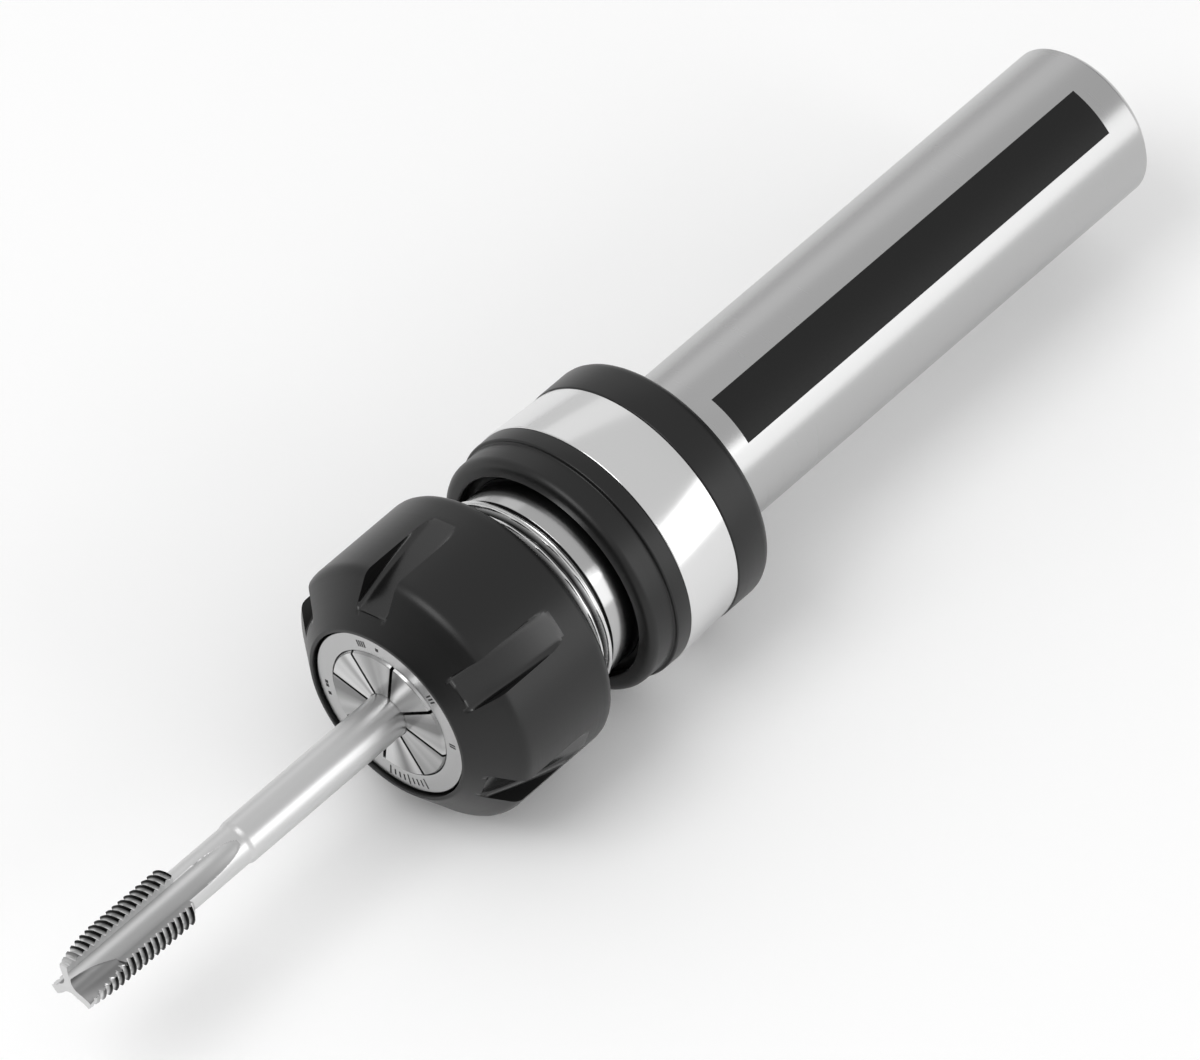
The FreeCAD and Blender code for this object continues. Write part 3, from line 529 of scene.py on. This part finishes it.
# Wiper seal
# Moulded nitrile rubber, pressed between the cap and the flange, dark inside the recess.
rubber = new_material("nitrile_rubber")
rubber_place = add(rubber, "ShaderNodeTexCoord").outputs["Object"]
rubber_grain = add(rubber, "ShaderNodeTexNoise", [("Vector", rubber_place)],
                   scale=1 / (0.3 * MM), detail=3.0)
rubber_bump = add(rubber, "ShaderNodeBump", [("Height", rubber_grain.outputs["Fac"])],
                  strength=0.5, distance=0.005 * MM)
finish_material(rubber, add(
    rubber, "ShaderNodeBsdfPrincipled", [("Normal", rubber_bump.outputs[0])],
    base_color=linear("#161616"), roughness=0.7))
wiper_bore = neck_radius + 0.05
lip_height = 0.5
wiper = turned("wiper", [
    (seal_front, wiper_bore, 0.15), (seal_front, wiper_bore + lip_height, 0.15),
    (seal_front + lip_height, seal_room), (seal_rear, seal_room), (seal_rear, wiper_bore)],
    rubber)
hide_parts("wiper_seal")
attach(wiper, "holder")


# Nut
# Forged and turned steel, blackened. Six notches for the spanner slope down towards the
# nose, milled with shallow hollow floors and straight sides, and the nose is a soft cone.
nut_black = blackened("nut_black", "#101010", 0.36, 0.3, 0.0006)

nut_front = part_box("nut_shell")[0][0] / MM
nut_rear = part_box("nut_shell")[1][0] / MM
nut_radius = 21
nut_mouth = 13.75
nose_radius = 14.3
nose_length = 5.4
nut_bore = thread_radius + 0.05
nut_chamfer = 0.6
bore_front = -47
ring_room = 15.2
ring_room_front = -53.35
nut_line = profile([
    (nut_front, nut_mouth, 0.12), (nut_front, nose_radius, 0.4),
    (nut_front + nose_length, nut_radius, 2.2), (nut_rear, nut_radius, 1.5),
    (nut_rear, nut_bore + nut_chamfer, 0.2), (nut_rear - nut_chamfer, nut_bore),
    (bore_front, nut_bore), (bore_front, ring_room), (ring_room_front, ring_room),
    (ring_room_front, nut_mouth)])
notch_count = 6
notch_step = 2 * math.pi / notch_count
notch_angle = math.radians(14.7)
notch_half = 2.9
notch_start = nut_rear - 4.9
notch_slope = math.radians(15.8)
notch_length = 16.8
notch_round = 0.8
floor_columns, wall_columns, land_columns = 21, 6, 20
longest_step = 0.6


def in_short_steps(line, longest):
    """Adds points to a closed outline so that no step is longer than the given one."""
    after = np.roll(line, -1, 0)
    parts = [a + (b - a) * np.arange(n)[:, None] / n for a, b, n in zip(
        line, after, np.ceil(np.linalg.norm(after - line, axis=1) / longest).astype(int).clip(1))]
    return np.concatenate(parts)


nut_points = in_short_steps(nut_line, longest_step)
nut_x, nut_r = nut_points[:, :1], nut_points[:, 1:]
outer = nut_r > nut_bore + nut_chamfer + 0.05
across = notch_half * np.sin(np.linspace(-math.pi / 2, math.pi / 2, floor_columns))[None, :]
arc_height = np.sqrt(nut_r ** 2 - across ** 2)


def notch_floor(x, across):
    """Height of a notch's floor above the axis. It dips along a shallow curve, which
    starts at 0.6 of its mean slope, and rises beside each wall by a quarter circle."""
    forward = notch_start - x
    dip = forward * math.tan(notch_slope) * (0.6 + 0.4 * forward / notch_length)
    beside_wall = np.clip(np.abs(across) - (notch_half - notch_round), 0, notch_round)
    return nut_radius - dip + notch_round - np.sqrt(notch_round ** 2 - beside_wall ** 2)


def turn_round_axis(turn):
    """The matrix that turns row vectors (x, y, z) by the given angle from +Z to +Y."""
    return np.array([[1, 0, 0], [0, math.cos(turn), -math.sin(turn)],
                     [0, math.sin(turn), math.cos(turn)]])


floor_height = notch_floor(nut_x, across)
notch_bottom = np.where(outer, np.minimum(floor_height, arc_height), arc_height)
floor_part = np.stack(np.broadcast_arrays(nut_x, across, notch_bottom), -1)
wall_share = np.linspace(0, 1, wall_columns)[None, 1:]
wall_height = notch_bottom[:, -1:] + (arc_height[:, -1:] - notch_bottom[:, -1:]) * wall_share
wall_part = np.stack(np.broadcast_arrays(nut_x, notch_half, wall_height), -1)
edge_turn = np.arcsin(notch_half / nut_r)
land_share = np.linspace(0, 1, land_columns)[None, 1:-1]
land_turn = edge_turn + (notch_step - 2 * edge_turn) * land_share
land_part = np.stack([nut_x + 0 * land_turn, nut_r * np.sin(land_turn),
                      nut_r * np.cos(land_turn)], -1)
other_wall = wall_part[:, ::-1] * np.array([1, -1, 1])
sector = np.concatenate([floor_part, wall_part, land_part,
                         other_wall @ turn_round_axis(notch_step)], 1)
nut_grid = np.concatenate([
    sector @ turn_round_axis(math.pi / 2 - notch_angle - i * notch_step)
    for i in reversed(range(notch_count))], 1)
nut = new_piece("nut_body", nut_grid, grid_faces(len(nut_points), nut_grid.shape[1], True, True),
                nut_black, 40)


def on_notch_floor(x, radius, angle):
    """True within 0.05 of a notch's floor, by the angle to the nearest notch's middle."""
    off = (angle - notch_angle + notch_step / 2) % notch_step - notch_step / 2
    gap = radius * np.cos(off) - notch_floor(x, radius * np.sin(off).clip(-1, 1))
    return (np.abs(gap) < 0.05) & (x < notch_start) & (radius * np.abs(np.sin(off)) < notch_half)


# Spanners have rubbed the notch floors smoother than the rest.
rubbed_black = blackened("rubbed_black", "#101010", 0.25, 0.3, 0.0003, 0.6)
paint_faces(nut, rubbed_black, on_notch_floor)
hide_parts("nut_shell")
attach(nut, "nut")


# Bearing ring
# Hardened and fine-turned steel. Its face shows in the nut's mouth as a bright ring.
ring_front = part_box("bearing_ring")[0][0] / MM
turned_steel = steel("turned_steel", "#B8B8B8", 0.24, 0.2, 0.0006, 0.06, 0.6)
ring_mouth = 10.39
ring_face_radius = 13.4
ring_neck_radius = 13.6
ring_head_radius = 15.1
ring_head_front = -52.02
ring_rear = -48.72
ring_bore = 13.1
ring_cone_rear = -52.2
ring = turned("thrust_ring", [
    (ring_front, ring_mouth, 0.14), (ring_front, ring_face_radius, 0.2),
    (ring_front + 1, ring_neck_radius), (ring_head_front, ring_neck_radius),
    (ring_head_front, ring_head_radius, 0.1), (ring_rear, ring_head_radius, 0.1),
    (ring_rear, ring_bore), (ring_cone_rear, ring_bore)], turned_steel)
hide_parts("bearing_ring")
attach(ring, "clamp_ring")

# Plain laser marks on the ring's face: rows of short ticks and a few dots, which a fitter
# counts to see how far the ring has crept. They are a dull black film.
laser_black = new_material("laser_black")
mark_place = add(laser_black, "ShaderNodeTexCoord").outputs["Object"]
mark_grain = add(laser_black, "ShaderNodeTexNoise", [("Vector", mark_place)],
                 scale=1 / (0.15 * MM), detail=2.0)
mark_gloss = add(laser_black, "ShaderNodeMapRange", [("Value", mark_grain.outputs["Fac"])],
                 to_min=0.5, to_max=0.7)
finish_material(laser_black, add(
    laser_black, "ShaderNodeBsdfPrincipled", [("Roughness", mark_gloss.outputs[0])],
    base_color=linear("#262626"), specular_ior_level=0.3))

mark_radius = 11.9
mark_rise = 0.012
mark_depth = 0.02
tick_half_width = 0.13
long_tick, short_tick, dot = 0.85, 0.55, 0.28
tick_step = 4.2
mark_rows = [(62, 4, short_tick, 0.5), (80, 1, dot, 1), (-12, 1, dot, 1), (-22, 2, dot, 1.6),
             (-124, 9, short_tick, 1), (168, 2, short_tick, 0.5), (128, 3, short_tick, 0.6)]
mark_corners = np.array([(-1, -1), (1, -1), (1, 1), (-1, 1)])
mark_sides = [(0, 1, 2, 3), (7, 6, 5, 4), (0, 4, 5, 1), (1, 5, 6, 2), (2, 6, 7, 3),
              (3, 7, 4, 0)]
mark_points, mark_faces = [], []
for first, count, half_length, spacing in mark_rows:
    for i in range(count):
        half_length_here = long_tick if count > 5 and i % 4 == 0 else half_length
        half_width = dot if half_length == dot else tick_half_width
        middle = math.radians(first + i * tick_step * spacing)
        radius = mark_radius + mark_corners[:, 0] * half_length_here
        turn = middle + mark_corners[:, 1] * half_width / mark_radius
        start = 4 * len(mark_points)
        for x in (ring_front + mark_depth, ring_front - mark_rise):
            mark_points.append(on_circles(x, radius, turn))
        mark_faces += [[start + c for c in side] for side in mark_sides]
ring_marks = new_piece("ring_marks", np.concatenate(mark_points), mark_faces, laser_black)
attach(ring_marks, "clamp_ring")


# Collet
# A spring-steel collet, hardened, ground and slotted through from the front by a thin
# wheel into eight jaws, which meet in a ring at the back.
collet_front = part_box("collet")[0][0] / MM
collet_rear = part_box("collet")[1][0] / MM
bore_radius = 3.42
slot_half = 0.26
slot_count = 8
slot_angle = math.radians(4.7)


def jaw_painted_reflections(material, place):
    """Painted reflection: light and darker sectors, from noise of the angle round the axis,
    atan2(z, y). The angle starts in a slot, so that its jump doesn't show."""
    turned_place = add(material, "ShaderNodeMapping", [("Vector", place)],
                       rotation=(-slot_angle, 0, 0))
    axes = add(material, "ShaderNodeSeparateXYZ", [("Vector", turned_place.outputs[0])])
    angle = add(material, "ShaderNodeMath", [(0, axes.outputs["Z"]), (1, axes.outputs["Y"])],
                operation="ARCTAN2")
    sectors = add(material, "ShaderNodeTexNoise", [("W", angle.outputs[0])],
                  noise_dimensions="1D", scale=2.1, detail=1.0, roughness=0.5)
    return add(material, "ShaderNodeMapRange", [("Value", sectors.outputs["Fac"])],
               from_min=0.35, from_max=0.65, to_min=linear("#808080")[0],
               to_max=linear("#D6D6D6")[0]).outputs[0]


# The jaws' colour is painted reflection, in light and darker sectors round the axis.
collet_steel = steel("collet_steel", "#C2C2C2", 0.22, 0.2, 0.0006, 0.06, 0.7, jaw_painted_reflections)
slot_rear = collet_rear - 5
cone_small_end = 9.0
cone_slope = math.tan(math.radians(8))
cone_at_slot_rear = cone_small_end + (collet_rear - slot_rear) * cone_slope
cone_large_end = 12.75
collet_face = 10.1
head_radius = 13
head_front = -52.35
groove_front = -51.9
groove_rear = -49.9
groove_radius = 11.6
jaw_steps = 13
back_steps = 96
jaw_line = profile([
    (collet_front, bore_radius, 0.15), (collet_front, collet_face, 0.2),
    (head_front, head_radius, 0.1), (groove_front, head_radius, 0.1),
    (groove_front, groove_radius), (groove_rear, groove_radius),
    (groove_rear, cone_large_end, 0.1), (slot_rear, cone_at_slot_rear),
    (slot_rear, bore_radius)])
jaw_x, jaw_r = jaw_line[:, :1], jaw_line[:, 1:]
jaw_edge = np.arcsin(slot_half / jaw_r)
jaw_step = 2 * math.pi / slot_count
jaw_share = np.linspace(0, 1, jaw_steps)[None, :]
jaw_points, jaw_faces = [], []
for i in range(slot_count):
    jaw_turn = slot_angle + i * jaw_step + jaw_edge + (jaw_step - 2 * jaw_edge) * jaw_share
    start = i * len(jaw_line) * jaw_steps
    first_column = [start + r * jaw_steps for r in range(len(jaw_line))]
    jaw_points.append(on_circles(jaw_x, jaw_r, jaw_turn).reshape(-1, 3))
    jaw_faces += grid_faces(len(jaw_line), jaw_steps, True, False, start)
    jaw_faces.append(first_column)
    jaw_faces.append([c + jaw_steps - 1 for c in reversed(first_column)])
back_line = profile([
    (slot_rear, bore_radius), (slot_rear, cone_at_slot_rear),
    (collet_rear, cone_small_end, 0.3), (collet_rear, bore_radius, 0.3)])
back_start = slot_count * len(jaw_line) * jaw_steps
back_angle = np.linspace(0, 2 * math.pi, back_steps, endpoint=False)[None, :]
jaw_points.append(on_circles(back_line[:, :1], back_line[:, 1:], back_angle).reshape(-1, 3))
jaw_faces += grid_faces(len(back_line), back_steps, True, True, back_start)
collet = new_piece("collet_jaws", np.concatenate(jaw_points), jaw_faces, collet_steel)
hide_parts("collet")
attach(collet, "clamp_ring")


# Tap
# High-speed steel, ground all over: a round shank with a square tail, a reduced neck,
# three straight flutes and an angled gash in each at the point. The crests of the teeth
# are painted near black and the thread between them bright, as painted shade.
tool_steel = steel("tool_steel", "#D0D0D0", 0.36, 0.2, 0.00008, 0.02, 0.4)
tap_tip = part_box("tap")[0][0] / MM
tap_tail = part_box("tap")[1][0] / MM
tap_shank = 3.4
tap_neck = 3.15
tap_thread = 4.5
tap_pitch = 1.15
tap_depth = 0.68
tap_lead = 5
tap_tip_radius = 3.95
tap_thread_rear = tap_tip + 21
tap_neck_rear = tap_thread_rear + 12.3
square_front = tap_tail - 8
square_half = 2.75
tail_chamfer = 0.4
thread_shoulder = 0.4
neck_step = 0.8
flute_radius = 2.1
flute_centre = 3.9
flute_straight = tap_tip + 23.5
flute_run_out = 25
flute_first = math.radians(119.7)
flute_count = 3
flute_step = 2 * math.pi / flute_count
gash_length = 7
gash_rise = math.tan(math.radians(11))
gash_radius = 1.7
gash_side = 0.9
gash_wall = 8.0
ground_margin = 0.1
beyond_all = 99.0


def bite(angle, middle, side, radius, wall=beyond_all):
    """Distance from the axis, along each angle, to the near side of a round cut whose
    centre is middle out and side across: m cos + s sin - sqrt(radius^2 - miss^2). Past
    the cut it climbs by wall times the rest of the miss."""
    along_ray = middle * np.cos(angle) + side * np.sin(angle)
    miss = np.abs(middle * np.sin(angle) - side * np.cos(angle))
    depth = np.sqrt(np.clip(radius ** 2 - miss ** 2, 0, None))
    skin = np.where(miss < radius, along_ray - depth, along_ray + wall * (miss - radius))
    return np.where(along_ray > 0, skin, beyond_all)


tap_steps = 288
tooth_rows, neck_rows, step_rows, shank_rows = 210, 36, 5, 4
tap_rows = np.concatenate([
    [tap_tip, tap_tip], np.linspace(tap_tip + 0.02, tap_thread_rear, tooth_rows),
    np.linspace(tap_thread_rear + 0.3, tap_neck_rear - neck_step - 0.1, neck_rows),
    np.linspace(tap_neck_rear - neck_step, tap_neck_rear, step_rows),
    np.linspace(tap_neck_rear + 0.1, square_front - 0.02, shank_rows),
    [square_front, tap_tail - tail_chamfer, tap_tail, tap_tail]])[:, None]
tap_angle = np.linspace(0, 2 * math.pi, tap_steps, endpoint=False)[None, :]
lead = np.clip((tap_rows - tap_tip) / tap_lead, 0, 1)
widening = np.clip((tap_rows - tap_neck_rear + neck_step) / neck_step, 0, 1)
threaded = tap_rows < tap_thread_rear - thread_shoulder
body_radius = np.where(threaded, tap_tip_radius + (tap_thread - tap_tip_radius) * lead,
                       tap_neck + (tap_shank - tap_neck) * widening)
tap_root = tap_thread - tap_depth * (1 - thread_wave(tap_rows, tap_angle, tap_pitch))
tap_skin = np.where(threaded, np.minimum(body_radius, tap_root), body_radius)


def flute_floor(x, angle):
    """Distance from the axis to the nearest flute. A flute is straight, then lifts out
    along a circle: lift = R - sqrt(R^2 - past^2)."""
    past = np.clip(x - flute_straight, 0, flute_run_out)
    lift = flute_run_out - np.sqrt(flute_run_out ** 2 - past ** 2)
    return np.minimum.reduce([bite(angle - flute_first - i * flute_step, flute_centre + lift,
                                   0, flute_radius) for i in range(flute_count)])


def gash_floor(x, angle):
    """Distance from the axis to the nearest gash, which slants inwards to the tip."""
    into = np.clip(tap_tip + gash_length - x, 0, gash_length)
    middle = flute_centre - into * gash_rise
    nearest = np.minimum.reduce([bite(angle - flute_first - i * flute_step, middle, gash_side,
                                      gash_radius, gash_wall) for i in range(flute_count)])
    return np.where(into > 0, nearest, beyond_all)


def ground_away(x, radius, angle):
    """True on the floor of a flute or a gash."""
    return radius > np.minimum(flute_floor(x, angle), gash_floor(x, angle)) - ground_margin


tap_skin = np.minimum(tap_skin, flute_floor(tap_rows, tap_angle))
tap_skin = np.minimum(tap_skin, gash_floor(tap_rows, tap_angle))
square_turn = tap_angle - slot_angle
square_skin = square_half / np.maximum(np.abs(np.cos(square_turn)),
                                       np.abs(np.sin(square_turn)))
tap_skin = np.where(tap_rows >= square_front, np.minimum(tap_skin, square_skin), tap_skin)
tap_skin[0] = 0
tap_skin[-1] = 0
tap_skin[-2] -= tail_chamfer
tap = new_piece("tap_body", on_circles(tap_rows, tap_skin, tap_angle),
                grid_faces(len(tap_rows), tap_steps, False, True), tool_steel, 40)
# Painted shade: the teeth go from bright in the roots to near black on the crests.
painted_shade_tooth_steel = steel("tap_tooth_steel", "#B4B4B4", 0.34, 0.2, 0.0005,
                    tone=tone_by_radius(tap_thread - 0.5, tap_thread - 0.22,
                                        "#D0D0D0", "#141414"))
paint_faces(tap, painted_shade_tooth_steel,
            lambda x, radius, angle: (x < tap_thread_rear) & ~ground_away(x, radius, angle)
            & (radius > tap_thread - tap_depth - 0.05))
flute_steel = steel("tap_flute_steel", "#B4B4B4", 0.5, 0.3, 0.0003, 0.04)
paint_faces(tap, flute_steel,
            lambda x, radius, angle: (x < square_front) & ground_away(x, radius, angle))
# The gashes get a darker base colour than the flutes and coarser rings in their bump.
gash_steel = steel("tap_gash_steel", "#868686", 0.45, 0.4, 0.002, 0.08)
paint_faces(tap, gash_steel,
            lambda x, radius, angle: (x > tap_tip + 0.01)
            & (radius > gash_floor(x, angle) - ground_margin))
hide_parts("tap")
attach(tap, "tap")


# Compensation springs
# Round spring wire, cold coiled, with closed ends that are ground flat. The front spring
# pushes the quill out and the rear one pulls it back. Each coil is built at one length.
spring_steel = steel("spring_steel", "#6E6E70", 0.35, 0.5, 0.0005)
spring_radius = 6.5
wire_radius = 0.9
wire_sides = 16
spring_pitch = 3.35
coil_steps = 36
coil_gap = 0.05
seat_gap = 0.02


def coil_spring(name, front, rear):
    """Round wire on a helix (x, R cos t, R sin t). x climbs by one wire in the first and
    the last turn and evenly between them, and the wire is cut flat at both ends."""
    start, end = front + wire_radius / 2, rear - wire_radius / 2
    closed = 2 * wire_radius + coil_gap
    turns = 2 + (end - start - 2 * closed) / spring_pitch
    turn = np.linspace(0, turns, round(turns * coil_steps) + 1)[:, None]
    middle = np.interp(turn, [0, 1, turns - 1, turns],
                       [start, start + closed, end - closed, end])
    side = np.linspace(0, 2 * math.pi, wire_sides, endpoint=False)[None, :]
    x = np.clip(middle + wire_radius * np.cos(side), front, rear)
    points = on_circles(x, spring_radius + wire_radius * np.sin(side), 2 * math.pi * turn)
    last = (len(turn) - 1) * wire_sides
    ends = [list(range(wire_sides)), list(range(last, last + wire_sides))]
    return new_piece(name, points, grid_faces(len(turn), wire_sides, False, True) + ends,
                     spring_steel)


for node_name, washer_before, washer_behind, fixed_end in (
        ("push_spring", "spring_thrust_washer", "push_seat_washer", 1),
        ("pull_spring", "pull_seat_washer", "bolt_washer", 0)):
    coil_ends = (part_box(washer_before)[1][0] / MM + seat_gap,
                 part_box(washer_behind)[0][0] / MM - seat_gap)
    coil = coil_spring(node_name + "_coil", *coil_ends)
    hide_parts(node_name)
    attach(coil, "holder")
    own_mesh(coil)


# Pieces inside
# Keys, washers, screws and seals sit out of sight, and show only through a gap or when
# the chuck is opened. They keep their own shapes and get their real finishes.
bearing_steel = steel("bearing_steel", "#C9C9C9", 0.1, 0.5, 0.0001)
bronze = steel("sintered_bronze", "#A07A45", 0.4, 0.3, 0.0008)
inner_finish = {
    "guide_bush": bronze, "thrust_washer": bronze,
    "cap_seal_ring": rubber, "stem_seal_ring": rubber,
    "nut_snap_ring": spring_steel, "drive_keys": bearing_steel,
    "push_seat_washer": bearing_steel, "pull_seat_washer": bearing_steel,
    "bolt_washer": bearing_steel, "spring_thrust_washer": bearing_steel,
    "end_plug": black_oxide, "stop_screw": black_oxide, "draw_bolt": black_oxide}
for node_name, finish in inner_finish.items():
    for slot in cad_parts[node_name].material_slots:
        slot.material = finish
